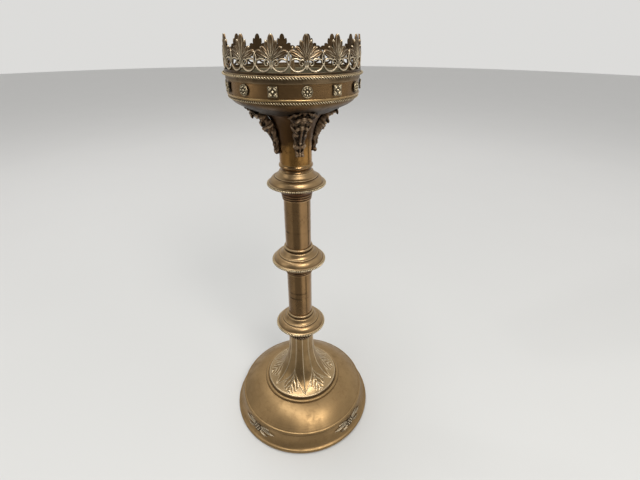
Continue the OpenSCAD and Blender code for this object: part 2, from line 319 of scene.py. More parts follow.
def metal(name, base, deep, worn, rough=0.32, turning=0.0, cast=0.0, green=0.0, relief=True,
          patches=0.5, polish=0.0, painted_shade_band=None, scored=()):
    """Aged metal. base is its usual colour, deep the colour of its recesses, worn that of its
    ridges. turning is the strength of lathe marks, cast that of a cast skin, green that of
    verdigris, patches how much the tarnish varies, and polish how mirror-like its clean places are.
    painted_shade_band gives two heights in mm, between which the metal turns dark: painted shade
    under overhangs, on the bell and bowl mixed with tarnish. scored gives the heights of dark lines worn
    around the piece."""
    base, deep, worn = rgb(*base), rgb(*deep), rgb(*worn)
    material, n = new_material(name)
    place = n.add("TexCoord").outputs["Object"]
    axes = n.add("SeparateXYZ", {0: place}).outputs
    flat = n.add("CombineXYZ", {0: axes[0], 1: axes[1]}).outputs[0]
    radius = n.length(flat)
    rings = n.add("CombineXYZ", {0: radius, 1: axes[2]}).outputs[0]

    tarnish = n.noise(place, 38, 5, 0.6, 0.4)
    stain = n.noise(place, 160, 6, 0.65, 0.8)
    speck = n.noise(place, 900, 3, 0.6)
    line_marks = n.noise(rings, 1500, 3, 0.6)
    wide_marks = n.noise(rings, 330, 3, 0.6)

    # Ambient occlusion finds creases, corners and gaps between parts: the darkening there is partly grime and
    # partly painted shade.
    corner = n.add("AmbientOcclusion", {"Distance": 0.0035}, samples=6).outputs["AO"]
    grime_and_shade = n.span(corner, 0.35, 0.9, 1, 0)
    grime_and_shade = n.times(grime_and_shade, n.span(stain, 0.3, 0.62, 0.45, 1))
    height = n.add("Attribute", attribute_name="relief").outputs["Fac"] if relief else 0.5

    tone = n.mix(n.span(tarnish, 0.36, 0.64, 0, patches), base, shade(base, 0.55))
    tone = n.mix(n.span(stain, 0.5, 0.72, 0, 0.45 * patches), tone, shade(deep, 1.6))
    tone = n.mix(n.span(speck, 0.58, 0.74, 0, 0.35), tone, shade(base, 0.5))
    tone = n.mix(n.span(line_marks, 0.4, 0.7, 0, 0.22 * min(1, turning * 3)), tone, shade(base, 1.35))
    # Painted shade: the metal darkens between the two heights of painted_shade_band.
    dark = 0.0
    if painted_shade_band:
        reach = abs(painted_shade_band[1] - painted_shade_band[0]) * MM
        waver = n.times(n.math("SUBTRACT", tarnish, 0.5), 3 * reach)
        dark = n.span(n.plus(axes[2], waver), painted_shade_band[0] * MM, painted_shade_band[1] * MM)
        tone = n.mix(n.times(dark, 0.9), tone, shade(deep, 1.6))
    for level in scored:
        gap = n.math("ABSOLUTE", n.math("SUBTRACT", axes[2], level * MM))
        mark = n.times(n.span(gap, 0.0014, 0.0003), n.span(tarnish, 0.42, 0.56, 0.08, 0.7))
        tone = n.mix(mark, tone, deep)
    if relief:
        tone = n.mix(n.span(height, 0.5, 0.12), tone, deep)
        rubbed = n.times(n.span(height, 0.55, 0.9), n.span(stain, 0.25, 0.55, 0.55, 1))
        tone = n.mix(rubbed, tone, worn)
    # Painted shade and grime darken creases and gaps between parts.
    tone = n.mix(n.times(grime_and_shade, 0.85), tone, deep)

    gloss = n.span(tarnish, 0.35, 0.65, rough - polish, rough + 0.1)
    gloss = n.plus(gloss, n.span(stain, 0.4, 0.7, 0, 0.12))
    gloss = n.plus(gloss, n.times(dark, 0.15))
    gloss = n.plus(gloss, n.times(grime_and_shade, 0.3), clamp=True)
    metallic = n.span(grime_and_shade, 0.3, 1.0, 1, 0.6)
    if green:
        crust = n.times(n.span(corner, 0.8, 0.45), n.span(stain, 0.52, 0.66))
        crust = n.times(crust, green, clamp=True)
        bloom = n.mix(n.span(speck, 0.4, 0.6), rgb(0.10, 0.17, 0.10), rgb(0.34, 0.38, 0.27))
        tone = n.mix(crust, tone, bloom)
        metallic = n.math("SUBTRACT", metallic, crust, clamp=True)
        gloss = n.plus(gloss, n.times(crust, 0.4), clamp=True)

    bumps = n.times(n.plus(line_marks, wide_marks), turning)
    bumps = n.plus(bumps, n.times(n.plus(stain, speck), cast))
    bumps = n.plus(bumps, n.times(tarnish, 0.3))
    normal = n.add("Bump", {"Height": bumps, "Strength": 0.5, "Distance": 0.00025}).outputs[0]

    surface = n.add("BsdfPrincipled", {"Base Color": tone, "Metallic": metallic,
                                       "Roughness": gloss, "Normal": normal})
    n.add("OutputMaterial", {"Surface": surface.outputs[0]})
    return material


def tube_marks(name, *shares):
    """Heights of the marks worn around a tube, each at a share of its length from the top."""
    top, bottom = high(name), low(name)
    return [top + (bottom - top) * share for share in shares]


# The foot is darker at the bottom of its rim: painted shade on the rim's underside.
FOOT_BRASS = metal("foot_brass", (0.36, 0.235, 0.11), (0.06, 0.036, 0.017), (0.46, 0.32, 0.155), rough=0.36,
                   turning=0.3, patches=0.4, painted_shade_band=(2.2, 0.6))
# The trumpet's top is darker just under the rope collar: painted shade under the lower knop.
TRUMPET_BRASS = metal("trumpet_brass", (0.42, 0.28, 0.135), (0.08, 0.05, 0.026), (0.84, 0.7, 0.48),
                      rough=0.27, cast=0.15, patches=0.4, painted_shade_band=(TRUMPET_TOP - 4.4, TRUMPET_TOP - 2.8))
STEM_BRASS = metal("stem_brass", (0.34, 0.205, 0.095), (0.035, 0.02, 0.009), (0.5, 0.34, 0.16), rough=0.15,
                   turning=0.12, patches=0.45, polish=0.04,
                   scored=tube_marks("upper_tube", 0.55) + tube_marks("lower_tube", 0.42, 0.5))
# The bell's top is dark under the pan: painted shade, mixed with tarnish.
BELL_BRASS = metal("bell_brass", (0.45, 0.24, 0.074), (0.042, 0.021, 0.009), (0.5, 0.34, 0.16), rough=0.17,
                   cast=0.25, patches=0.8, polish=0.06, painted_shade_band=(PAN_Z - 48, PAN_Z - 29))
KNOP_BRASS = metal("knop_brass", (0.41, 0.275, 0.14), (0.04, 0.024, 0.012), (0.64, 0.48, 0.28),
                   turning=0.28, patches=0.4)
UNDER_BRASS = metal("knop_under_brass", (0.15, 0.075, 0.038), (0.014, 0.008, 0.005), (0.66, 0.44, 0.22),
                    rough=0.24, turning=0.28)
TRIM_BRASS = metal("trim_brass", (0.42, 0.30, 0.16), (0.02, 0.012, 0.006), (0.95, 0.8, 0.54), rough=0.27,
                   cast=0.12, patches=0.4)
CROWN_BRASS = metal("crown_brass", (0.19, 0.125, 0.068), (0.03, 0.02, 0.011), (0.86, 0.74, 0.54),
                    rough=0.33, cast=0.5, green=0.8, patches=0.6)
PAN_BRASS = metal("pan_brass", (0.3, 0.178, 0.078), (0.04, 0.023, 0.01), (0.5, 0.34, 0.16), rough=0.22,
                  turning=0.2, green=0.4, patches=0.7)
LIP_BRASS = metal("lip_brass", (0.26, 0.18, 0.1), (0.035, 0.024, 0.014), (0.4, 0.29, 0.165), rough=0.38,
                  turning=0.2, cast=0.3, green=0.4, patches=0.9)
# The bowl's underside is dark near the bell: painted shade under the pan, mixed with tarnish.
BOWL_BRASS = metal("bowl_brass", (0.2, 0.12, 0.055), (0.02, 0.013, 0.008), (0.4, 0.27, 0.13), rough=0.3,
                   turning=0.2, green=0.3, patches=0.8, painted_shade_band=(PAN_Z + 10, PAN_Z + 4))
INSIDE_BRASS = metal("pan_inside_brass", (0.33, 0.30, 0.21), (0.08, 0.07, 0.045), (0.45, 0.42, 0.31),
                     rough=0.45, turning=0.2, green=1.0, patches=0.9)
ROSETTE_BRASS = metal("rosette_brass", (0.40, 0.32, 0.2), (0.04, 0.028, 0.016), (0.8, 0.7, 0.5), rough=0.36,
                      cast=0.5, green=0.4)
MOUNT_BRASS = metal("mount_brass", (0.32, 0.235, 0.14), (0.04, 0.026, 0.015), (0.82, 0.72, 0.54),
                    rough=0.36, cast=0.5)
DARK_BRONZE = metal("dark_bronze", (0.22, 0.145, 0.088), (0.025, 0.016, 0.01), (0.52, 0.38, 0.25),
                    rough=0.34, cast=0.9, green=0.2, patches=0.7)
STEEL = metal("rod_steel", (0.3, 0.3, 0.31), (0.05, 0.045, 0.04), (0.5, 0.5, 0.5), rough=0.4, turning=0.2,
              relief=False)


# ---- Turned pieces ----

def turning(path):
    """Relief along a turned profile: ridges high, grooves low, from how sharply it bends."""
    before, after = np.roll(path, 1, axis=0), np.roll(path, -1, axis=0)
    a, b = path - before, after - path
    length = np.maximum(np.linalg.norm(a, axis=1), 1e-6) + np.maximum(np.linalg.norm(b, axis=1), 1e-6)
    turn = np.arctan2(a[:, 0] * b[:, 1] - a[:, 1] * b[:, 0], (a * b).sum(1))
    bend = turn / length
    out = np.zeros(len(path))
    place = np.cumsum(np.linalg.norm(a, axis=1))
    for i, s in enumerate(place):
        weight = np.exp(-((place - s) / 0.5) ** 2)
        out[i] = (bend * length * weight).sum() / (weight * length).sum()
    return 0.5 + np.clip(out * 0.55, -0.5, 0.5)


def lathe(name, profile, node, slot, material, rounds=192, step=0.9, body="stand"):
    """A turned piece. profile is a closed outline of (radius, height), anticlockwise."""
    path = even(np.vstack([profile, profile[:1]]), step)[:-1]
    shape = Shape().grid(spun(path, rounds), turning(path))
    return shape.make(name, node, slot, material, sharp=40, body=body)


# ---- Cast reliefs ----

class Stroke:
    """A ribbon of changing width along a path, with its own height across it. Its height function
    takes s, from -1 to 1 across, and t, from 0 to 1 along, and gives the height and the relief."""

    def __init__(self, points, half_widths, height, mirror=False):
        n = 8 * len(points)
        self.path = smooth_path(points, n)
        self.half = np.maximum(smooth_path([[w] for w in half_widths], n)[:, 0], 0.05)
        if mirror:
            self.path = self.path * [-1, 1]
        self.height = height

    def measure(self, p):
        """How far inside the ribbon each point is, and the height and relief there."""
        a, b = self.path[:-1], self.path[1:]
        run = b - a
        along = ((p[:, None] - a) * run).sum(-1) / (run**2).sum(-1)
        along = unit(along)
        gap = p[:, None] - a - along[..., None] * run
        distance = np.linalg.norm(gap, axis=-1)
        half = self.half[:-1] + along * np.diff(self.half)
        inside = half - distance
        best = inside.argmax(axis=1)
        rows = np.arange(len(p))
        gap, half = gap[rows, best], half[rows, best]
        side = np.sign(run[best, 0] * gap[:, 1] - run[best, 1] * gap[:, 0])
        s = np.clip(side * distance[rows, best] / half, -1, 1)
        t = (best + along[rows, best]) / len(a)
        height, relief = self.height(s, t)
        return inside[rows, best], height, relief


def strokes_field(strokes):
    """A field that joins strokes into one casting, with its edges rounded over."""
    bevel, reach = 0.3, 0.16

    def field(p):
        inside, height, relief = (np.array(v) for v in zip(*(s.measure(p) for s in strokes)))
        covered = np.where(inside > 0, height, -9)
        best = np.where((inside > 0).any(axis=0), covered.argmax(axis=0), inside.argmax(axis=0))
        rows = np.arange(len(p))
        depth = inside.max(axis=0)
        edge = np.exp(-np.maximum(depth, 0) / reach)
        return depth, height[best, rows] - bevel * edge, relief[best, rows]
    return field


class Casting:
    """A flat-backed relief over the area where a field is positive."""

    def __init__(self, field, x_span, z_span, step):
        x = np.linspace(*x_span, round((x_span[1] - x_span[0]) / step) + 1)
        z = np.linspace(*z_span, round((z_span[1] - z_span[0]) / step) + 1)
        nodes = np.stack(np.meshgrid(x, z, indexing="ij"), -1)
        depth = np.concatenate([field(part)[0] for part in np.array_split(nodes.reshape(-1, 2), 40)])
        depth = depth.reshape(nodes.shape[:2])
        self.points, self.faces, self.walls, known = [], [], [], {}

        def vertex(key, place):
            if key not in known:
                known[key] = len(self.points)
                self.points.append(place)
            return known[key]

        near = [depth[:-1, :-1], depth[1:, :-1], depth[1:, 1:], depth[:-1, 1:]]
        for i, j in np.argwhere(np.max(near, axis=0) > 0):
            corners = [(i, j), (i + 1, j), (i + 1, j + 1), (i, j + 1)]
            face, cuts = [], []
            for a, b in zip(corners, corners[1:] + corners[:1]):
                if depth[a] > 0:
                    face.append(vertex(a, nodes[a]))
                    cuts.append(False)
                if (depth[a] > 0) != (depth[b] > 0):
                    f = min(max(depth[a] / (depth[a] - depth[b]), 0.06), 0.94)
                    key = (min(a, b), max(a, b))
                    face.append(vertex(key, nodes[a] + f * (nodes[b] - nodes[a])))
                    cuts.append(True)
            self.faces.append(face)
            for k in range(len(face)):
                n = (k + 1) % len(face)
                if cuts[k] and cuts[n]:
                    self.walls.append((face[k], face[n]))
        self.points = np.array(self.points)
        _, self.height, self.relief = (np.concatenate(v) for v in zip(
            *(field(part) for part in np.array_split(self.points, 40))))

    def put(self, shape, place, back):
        """Adds the casting to a shape. place(x, z, h) gives the points in space."""
        x, z = self.points.T
        base, n = shape.count, len(x)
        behind = np.broadcast_to(back, (n,))
        shape.points += [place(x, z, self.height), place(x, z, behind)]
        shape.relief += [self.relief, np.full(n, 0.45)]
        shape.faces += [[base + v for v in face] for face in self.faces]
        shape.faces += [[base + n + v for v in face[::-1]] for face in self.faces]
        shape.faces += [[base + a, base + a + n, base + b + n, base + b] for a, b in self.walls]
        shape.count += 2 * n


def unit(v):
    """v kept between 0 and 1."""
    return np.clip(v, 0, 1)


def bump(s, centre, width):
    """A smooth rise to 1 at the centre."""
    return np.exp(-((s - centre) / width)**2)


def edge_drop(depth):
    """How much lower a casting is near its edge."""
    return 0.3 * np.exp(-np.maximum(depth, 0) / 0.2)


# ---- Foot ----

def band_path():
    """The concave band of the foot, from its rim up to the step."""
    return curve([FOOT_R - 3.1, 6], [FOOT_R - 6.4, 10], [STEP_R + 1.2, 15], [STEP_R + 1, STEP_Z - 4.2])


def make_base():
    dome = curve([STEP_R - 1.4, STEP_Z], [STEP_R - 9, STEP_Z + 7], [62, SEAT_Z - 2.4],
                 [COLLAR_R + 0.2, SEAT_Z])
    edge = arc(STEP_R - 1.4, STEP_Z - 2.3, 2.3, -30, 88)
    under = beside(chain(band_path(), line([STEP_R - 0.6, STEP_Z - 0.8]), dome), SPUN_WALL)
    base = lathe("base_dish_spun", chain(
        line([FOOT_R - 5, 0], [FOOT_R - 1.6, 0]), arc(FOOT_R - 2.6, 2.6, 2.6, -60, 80),
        band_path(), edge, dome, line([ROD_HOLE, SEAT_Z], [ROD_HOLE, SEAT_Z - SPUN_WALL]),
        under[::-1], line([FOOT_R - 5, 5])), "base_dish", "foot_brass", FOOT_BRASS, rounds=256)
    dent_r, dent_turn, dent_depth, dent_reach = 60.5, math.radians(-76), 0.55, 2.6
    dent = Vector((dent_r * math.sin(dent_turn), -dent_r * math.cos(dent_turn), SEAT_Z - 4.5)) * MM
    for point in base.data.vertices:
        away = (point.co - dent).length / MM
        point.co.z -= dent_depth * MM * math.exp(-(away / dent_reach)**2)
    collar = chain(
        line([38, SEAT_Z], [COLLAR_R - 1.2, SEAT_Z]),
        arc(COLLAR_R - 2.3, SEAT_Z + 0.9, 2.3, -20, 120),
        line([COLLAR_R - 5, COLLAR_TOP], [38, COLLAR_TOP]))
    lathe("base_collar_spun", collar, "base_collar", "foot_brass", FOOT_BRASS, step=0.5)


# ---- Leaf trumpet ----

LEAVES = 6
LARGE_TURN = 4
SMALL_TURN = 34


def trumpet_path():
    """The trumpet's outline, from the collar up to the lower tube."""
    return curve([42.6, COLLAR_TOP + 3.6], [27.5, COLLAR_TOP + 10.2], [13.3, COLLAR_TOP + 25.2],
                 [TUBE_R + 0.75, TRUMPET_TOP], 60)


def leaf_relief(turn, r):
    """Height in mm, and relief, of the leaves chased on the trumpet, at a turn in degrees."""
    def off(first):
        """Angle from the nearest leaf's middle line."""
        return (turn - first + 180 / LEAVES) % (360 / LEAVES) - 180 / LEAVES

    arc_mm = np.radians(1) * r
    large = off(LARGE_TURN)
    small = off(SMALL_TURN)
    half_large = np.interp(r, [14, 21, 25, 30, 35, 39, 41.2, 43], [30, 30, 24, 14, 7, 3, 0, -3])
    half_small = np.interp(r, [14, 20.5, 25, 30, 34, 37, 40, 42.2, 44], [-1, 0, 6, 15, 18, 15, 8, 0, -3])

    inside_large = (half_large - abs(large)) * arc_mm
    inside_small = (half_small - abs(small)) * arc_mm
    ridge = bump(large * arc_mm, 0, 0.5)
    ridge = ridge * unit((42 - r) / 2)
    rim = bump(inside_large, 0.35, 0.36) * (r < 42)
    share = unit(abs(large) / np.maximum(half_large, 1))
    hollow = 4 * share * (1 - share) * (inside_large > 0)
    rim_small = bump(inside_small, 0.3, 0.34) * (r > 21)
    middle_small = bump(small * arc_mm, 0, 0.36) * (inside_small > 0)
    sweep = abs(small) * arc_mm
    vein = abs((r - 1.5 * sweep + 0.6 * np.sin(0.9 * sweep + 0.3 * r)) / 6.4 % 1 - 0.5) * 2
    vein = unit(1.5 * vein - 0.55) * unit((inside_small - 0.2) / 0.7)
    vein = vein * unit((r - 23) / 4)

    ground = (inside_large < 0) & (inside_small < 0)
    stipple = np.sin(r * 6.2 + 1.3 * np.sin(turn * 0.7)) * np.sin(turn * 0.62 * 5.6 + r * 2.1)
    height = 0.75 * ridge + 0.4 * rim - 0.6 * hollow * (1 - ridge)
    height = np.where(inside_small > -0.4, 0.3 * rim_small + 0.4 * middle_small + 0.85 * vein - 0.2, height)
    height = np.where(ground & (r > 24), -0.3 + 0.14 * stipple, height)
    height = np.maximum(height, 0.42 * rim * (inside_large > -0.6))
    relief = 0.5 + 0.5 * np.maximum(ridge, 0.85 * rim) - 0.06 * hollow * (1 - ridge)
    leaf = np.maximum(0.9 * rim_small, np.maximum(middle_small, vein))
    relief = np.where(inside_small > -0.4, 0.38 + 0.56 * leaf, relief)
    relief = np.where(ground & (r > 24), 0.6 + 0.2 * stipple, relief)
    return height, relief


def make_trumpet():
    path = even(trumpet_path(), 0.5)
    normal = rightward(path)
    rounds = 640
    turn = np.linspace(0, 360, rounds, endpoint=False)
    grid_turn, grid_r = np.meshgrid(turn, path[:, 0], indexing="ij")
    height, relief = leaf_relief(grid_turn, grid_r)
    fade = unit((TRUMPET_TOP - path[:, 1]) / 3) * unit((43.0 - path[:, 0]) / 1.2)
    height = height * fade
    r = path[:, 0] + height * normal[:, 0]
    z = path[:, 1] + height * normal[:, 1]
    spigot = KNOP_Z[0] - 5
    inner = beside(trumpet_path(), 2.1)[::-1]
    top = line([TUBE_R, TRUMPET_TOP], [TUBE_R, spigot], [TUBE_R - 1.5, spigot], [TUBE_R - 1.5, TRUMPET_TOP])
    rest = chain(top, inner, line([40, COLLAR_TOP + 1.2], [40, COLLAR_TOP], [42.6, COLLAR_TOP]),
                 arc(42.5, COLLAR_TOP + 2.1, 1.5, -50, 84))
    rest = even(rest, 2.4)
    plain = np.where(rest[:, 0] > 42, 0.7, 0.55)
    r, z, relief = (np.hstack([a, np.broadcast_to(b, (rounds, len(rest)))])
                    for a, b in ((r, rest[:, 0]), (z, rest[:, 1]), (relief, plain)))
    Shape().grid(turned(r, np.radians(turn)[:, None], z), relief).make(
        "leaf_trumpet_cast", "leaf_trumpet", "foot_brass", TRUMPET_BRASS, sharp=70)


# ---- Ropes and milled rings ----

def wire_ring(name, node, r, z, section, repeats, across, slot, material):
    """A ring of worked wire. section(turn, phi) gives how far its surface is from the middle of the
    wire, and the relief, at a turn about the stem and an angle phi about the wire."""
    turn, phi = around(repeats * 8)[:, None], around(across)[None, :]
    reach, relief = section(turn, phi)
    points = turned(r + reach * np.cos(phi), np.broadcast_to(turn, reach.shape), z + reach * np.sin(phi))
    Shape().grid(points, relief).make(name, node, slot, material, sharp=75)


def rope(name, r, z, wire, strands, slot, material, node=None):
    """A ring of two-strand twisted wire. strands is how many strands pass the eye around it."""
    depth = 0.66

    def section(turn, phi):
        lobe = abs(np.cos(phi + turn * strands / 2))**1.7
        return wire * (1 - depth + depth * lobe), unit(1.25 * lobe - 0.25)
    wire_ring(name, node or name + "_ring", r, z, section, strands, 14, slot, material)


def milled_ring(name, r, z, wire, teeth, slot, material):
    """A ring with short upright flutes around its outside."""
    def section(turn, phi):
        tooth = abs(np.cos(turn * teeth / 2))**1.3
        outward = unit(np.cos(phi) + 0.6)
        return (wire * (1 - 0.5 * (1 - tooth) * outward),
                0.95 * tooth * unit(outward + 0.3))
    wire_ring(name + "_milled_edge", name + "_milled_ring", r, z, section, teeth, 16, slot, material)


# ---- Stem ----

def make_knop(name, z, bead, long):
    """A knop. bead is whether its cap has a bead around the tube, long whether its dish ends in
    two more rings."""
    under = curve([KNOP_R - 2.4, -1.3], [KNOP_R - 7, -3.4], [17, -5.2], [15.9, -8.6])
    inner = TUBE_R + SLIP
    foot = (chain(line([inner, -17]), arc(TUBE_R + 0.2, -16.1, 0.95, -70, 60),
                  arc(TUBE_R + 0.4, -13.7, 1.2, -50, 50)) if long
            else chain(line([inner, -14.2]), arc(TUBE_R + 0.3, -13.5, 0.7, -70, 0)))
    dish = chain(
        line([ROD_HOLE, -2], [ROD_HOLE, -5], [inner, -5]), foot, arc(TUBE_R + 0.5, -11, 1.6, -45, 45),
        under[::-1], line([KNOP_R - 2.4, 0.2], [KNOP_R - 4.2, 0.2], [17.5, -2]))
    neck = (chain(line([inner, 17.2]), arc(TUBE_R + 0.55, 16, 1.25, 80, -70),
                  line([14.5, 14.3], [14.5, 13.4])) if bead
            else line([inner, 13], [15.4, 13]))
    cap = chain(
        neck, arc(15.4, 11.5, 1.5, 75, 20),
        curve([17, 11.6], [17.7, 9.9], [18.5, 8.6], [20.1, 8]), arc(20.5, 7.4, 0.5, 110, 0),
        curve([21.1, 6.9], [23.6, 6.7], [KNOP_R - 3.9, 4.6], [KNOP_R - 3.1, 1.8]),
        line([KNOP_R - 1.5, 0.95], [KNOP_R - 2.4, 0.25], [KNOP_R - 4.2, 0.25], [KNOP_R - 5.6, 3.4],
             [20.6, 5.4], [17, 7.4], [inner, 9]))[::-1]
    for kind, path, material in (("dish", dish, UNDER_BRASS), ("cap", cap, KNOP_BRASS)):
        node = f"{name}_knop_{kind}"
        lathe(node + "_spun", path + [0, z], node, "knop_brass", material, step=0.45)
    milled_ring(name + "_knop", KNOP_R - MILLED_WIRE, z - MILLED_DROP, MILLED_WIRE, 96, "trim_brass",
                TRIM_BRASS)


def make_stem():
    for name, z in zip(("lower", "middle", "upper"), KNOP_Z):
        make_knop(name, z, bead=name != "upper", long=name != "lower")
    for name in ("lower_tube", "upper_tube"):
        bottom, top = low(name), high(name)
        wall = even(line([TUBE_R, bottom], [TUBE_R, top]), 1.5)
        lathe(name + "_drawn", chain(wall, line([TUBE_R - 1.5, top], [TUBE_R - 1.5, bottom])),
              name, "stem_brass", STEM_BRASS, step=2)
    rope("trumpet_rope", TUBE_R + 1.4, TRUMPET_TOP + 0.3, 1.9, 36, "dark_bronze", DARK_BRONZE,
         "trumpet_rope_collar")
    cove = curve([TUBE_R + 1.7, NECK_RING_Z], [TUBE_R + 0.4, NECK_RING_Z + 0.9],
                 [TUBE_R + 0.4, CAPITAL_Z - 4.6], [TUBE_R + 1.6, CAPITAL_Z - 3.7])
    lathe("neck_ring_spun", chain(
        line([TUBE_R + SLIP, NECK_RING_Z]), cove, arc(TUBE_R + 0.7, CAPITAL_Z - 1.85, 2.2, -55, 55),
        line([TUBE_R + SLIP, CAPITAL_Z])), "neck_ring", "stem_brass", STEM_BRASS, step=0.4)
    spigot = KNOP_Z[2] - 2
    bell = capital_path()
    inside = beside(bell[bell[:, 0] < 20], 1.8)[::-1]
    lathe("capital_spun", chain(
        line([TUBE_R - 1.5, spigot], [TUBE_R, spigot], [TUBE_R, CAPITAL_Z], [NECK_R, CAPITAL_Z]),
        bell, line([30, PAN_Z], [ROD_HOLE, PAN_Z], [ROD_HOLE, PAN_Z - 3], [18, PAN_Z - 3]),
        inside, line([TUBE_R - 1.5, CAPITAL_Z + 8])), "capital", "stem_brass", BELL_BRASS)


def capital_path():
    """The bell's outline, from the neck out to the pan."""
    return curve([NECK_R, CAPITAL_Z + 11.5], [NECK_R + 0.3, CAPITAL_Z + 27.5], [NECK_R + 4, PAN_Z - 5.4],
                 [30, PAN_Z - 0.4])


# ---- Pan ----

def bowl_path():
    return curve([35, PAN_Z], [43, PAN_Z + 4.6], [BAND_R - 3.3, PAN_Z + 6.6], [BAND_R - 1.7, PAN_Z + 11.9])


def make_pan():
    ledge, floor = PAN_Z + 13.8, PAN_Z + SPUN_WALL
    inner_bowl = beside(bowl_path(), SPUN_WALL)
    inner_bowl = inner_bowl[inner_bowl[:, 1] > floor]
    pan = lathe("pan_spun", chain(
        line([ROD_HOLE, PAN_Z]), bowl_path(),
        line([BAND_R - 1.7, ledge], [BAND_R, ledge], [BAND_R, WALL_TOP], [BAND_R - SPUN_WALL, WALL_TOP],
             [BAND_R - SPUN_WALL, ledge + SPUN_WALL]),
        inner_bowl[::-1], line([33.5, floor], [ROD_HOLE, floor])),
        "pan", "pan_brass", PAN_BRASS, rounds=256)
    pan.data.materials.append(BOWL_BRASS)
    pan.data.materials.append(INSIDE_BRASS)
    for face in pan.data.polygons:
        centre = face.center / MM
        inward = face.normal.x * centre.x + face.normal.y * centre.y < -0.1
        if inward or (face.normal.z > 0.5 and centre.z < ledge - 0.2):
            face.material_index = 2
        elif centre.z < ledge - 0.2:
            face.material_index = 1
    lathe("pan_bead", arc(BAND_R + 0.02, WALL_TOP - 14.5, 0.75, -90, 90), "pan_bead_ring", "trim_brass",
          PAN_BRASS, step=0.2)
    lip = chain(
        line([BAND_R + SLIP, WALL_TOP - 3.6], [BAND_R + 0.7, WALL_TOP - 3.1], [BAND_R + 0.7, WALL_TOP - 2.4]),
        curve([BAND_R + 0.7, WALL_TOP - 2.4], [BAND_R + 0.8, WALL_TOP - 1.2],
              [BAND_R + 0.9, WALL_TOP - 0.3], [BAND_R + 1.35, WALL_TOP], 10),
        line([BAND_R + 1.35, WALL_TOP + 1.75], [BAND_R + 1, RAIL_Z], [BAND_R - SPUN_WALL, RAIL_Z],
             [BAND_R - SPUN_WALL, WALL_TOP], [BAND_R + SLIP, WALL_TOP]))
    lathe("pan_lip_spun", lip, "pan_lip", "pan_brass", LIP_BRASS, step=0.35)
    for name, out in (("lower_rope", -0.7), ("upper_rope", 2.3)):
        rope(name, BAND_R + out, middle(name + "_ring"), 0.95, 164, "trim_brass", TRIM_BRASS)


# ---- Crown gallery ----

RAIL_H = 1.9
PLATE = 1.3
FACE_LIFT = 0.26


def leaf_height(s, t):
    """A lobe of the palmette: a spoon-shaped rib between grooves, on a fuller leaf."""
    rib = bump(s, 0, 0.3) * unit(1.35 - 1.3 * t)
    shoulder = bump(abs(s), 0.66, 0.2)
    tip = unit((t - 0.72) / 0.22)
    height = 0.7 * rib + 0.3 * shoulder * (1 - tip) + 0.34 * tip * (1 - s * s) - 0.12 * abs(s)**4
    light = np.maximum(rib, np.maximum(0.72 * shoulder * (1 - 0.4 * tip), 0.72 * tip))
    return height + 0.1, 0.2 + 0.76 * light


def wire_height(s, t):
    """A rounded strap."""
    round_top = np.sqrt(unit(1 - 0.9 * s * s))
    return 0.55 * round_top, 0.12 + 0.72 * round_top


def crown_strokes():
    """One palmette with its scrolls; x is from its middle line and z from the rail's top."""
    half_unit = math.pi * CROWN_R / UNITS
    strokes = [
        Stroke([(0, 2.6), (0, 5.4), (0, 8.2)], [0.85, 0.62, 0.5], wire_height),
        Stroke([(0, 7.8), (0, 12), (0, 16), (0, 19.4), (0, 22), (0, 24.5)],
               [0.55, 1.05, 1.5, 2.55, 2.2, 0.5], leaf_height)]
    side = [
        ([(0.5, 9.4), (1.2, 12.2), (2.2, 15.2), (3.1, 18), (3.8, 20.3)], [0.45, 0.95, 1.5, 1.75, 0.7],
         leaf_height),
        ([(0.8, 9.2), (2.5, 11.5), (4.5, 13.5), (6.2, 15), (7.6, 16.1)], [0.45, 1.0, 1.6, 1.9, 0.7],
         leaf_height),
        ([(0.4, 8), (2.6, 9.5), (5.4, 10.8), (8.2, 12.2), (10.3, 13.1), (12, 13.4)],
         [0.45, 0.85, 1.6, 2.3, 1.75, 0.45], leaf_height),
        ([(4.2, 8), (6.4, 8.8), (8.8, 8.9), (11.4, 8)], [0.45, 0.75, 0.75, 0.5], wire_height),
        ([(0.4, 4.3), (1.4, 3.1), (3.4, 1.4), (6.2, 0.6), (8.8, 1.1), (10.9, 2.6), (12.1, 4.4),
          (12.5, 5.6)], [0.65, 0.72, 0.74, 0.8, 0.74, 0.68, 0.6, 0.45], wire_height),
        ([(0.85, 3.7), (1.3, 5.2), (1.35, 6.7), (2.1, 7.95), (3.4, 8.35), (4.7, 7.6), (5.15, 6.2),
          (4.5, 4.85), (3.2, 4.6), (2.55, 5.5), (3.1, 6.35)],
         [0.45, 0.52, 0.54, 0.54, 0.52, 0.5, 0.46, 0.42, 0.42, 0.5, 0.5], wire_height),
        ([(half_unit, 12.9), (half_unit - 0.75, 10.6), (half_unit - 1.1, 8.2), (half_unit - 0.7, 6),
          (half_unit, 4.6)], [0.5, 0.6, 0.65, 0.6, 0.6], wire_height)]
    for points, half_widths, height in side:
        for mirror in (False, True):
            strokes.append(Stroke(points, half_widths, height, mirror))
            outward = [(2 * half_unit - x, z) for x, z in points]
            if max(x for x, z in points) > half_unit - 1.5:
                strokes.append(Stroke(outward, half_widths, height, mirror))
    return strokes


